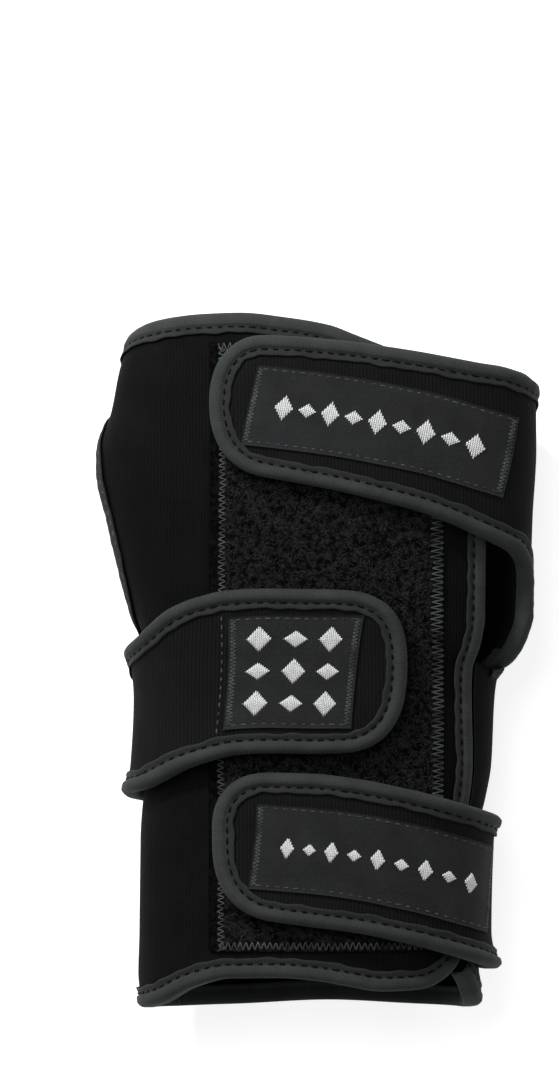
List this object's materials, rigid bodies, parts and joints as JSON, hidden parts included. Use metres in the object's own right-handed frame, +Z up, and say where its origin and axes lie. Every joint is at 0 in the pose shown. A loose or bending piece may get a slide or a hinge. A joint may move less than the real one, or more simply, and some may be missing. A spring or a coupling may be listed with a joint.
{
  "type": "bowling glove",
  "caption": "Neoprene wrist-support glove for the right hand, open at fingers, thumb and wrist, closed over the back by hook-and-loop straps with bound edges.",
  "frame": {"origin": "on the floor under the middle of the glove, which lies palm down", "axes": "+Z up out of the back of the hand, +Y from the wrist to the fingers, +X from the thumb side to the little finger side"},
  "size_m": [0.1106, 0.1738, 0.0566],
  "materials": {
    "neoprene": "black foam with a fine ribbed jersey face",
    "strap_neoprene": "black foam with a fine ribbed jersey face",
    "edge_tape": "dark grey-green woven binding tape, stitched",
    "loop_pile": "black brushed loop pile",
    "hook_tape": "black hook tape",
    "woven_label": "black twill-woven label, stitched round"
  },
  "bodies": {
    "root": {"back_panel": "neoprene", "palm_panel": "neoprene", "side_gusset": "neoprene", "back_panel_binding": "edge_tape", "palm_knuckle_binding": "edge_tape", "palm_wrist_binding": "edge_tape", "side_gusset_binding": "edge_tape", "thumb_hole_binding": "edge_tape", "loop_panel": "loop_pile", "knuckle_strap": "strap_neoprene", "knuckle_strap_binding": "edge_tape", "knuckle_strap_label": "woven_label", "knuckle_strap_hook_tab": "hook_tape", "middle_strap": "strap_neoprene", "middle_strap_binding": "edge_tape", "middle_strap_label": "woven_label", "middle_strap_hook_tab": "hook_tape", "wrist_strap": "strap_neoprene", "wrist_strap_binding": "edge_tape", "wrist_strap_label": "woven_label", "wrist_strap_hook_tab": "hook_tape"}
  },
  "joints": []
}
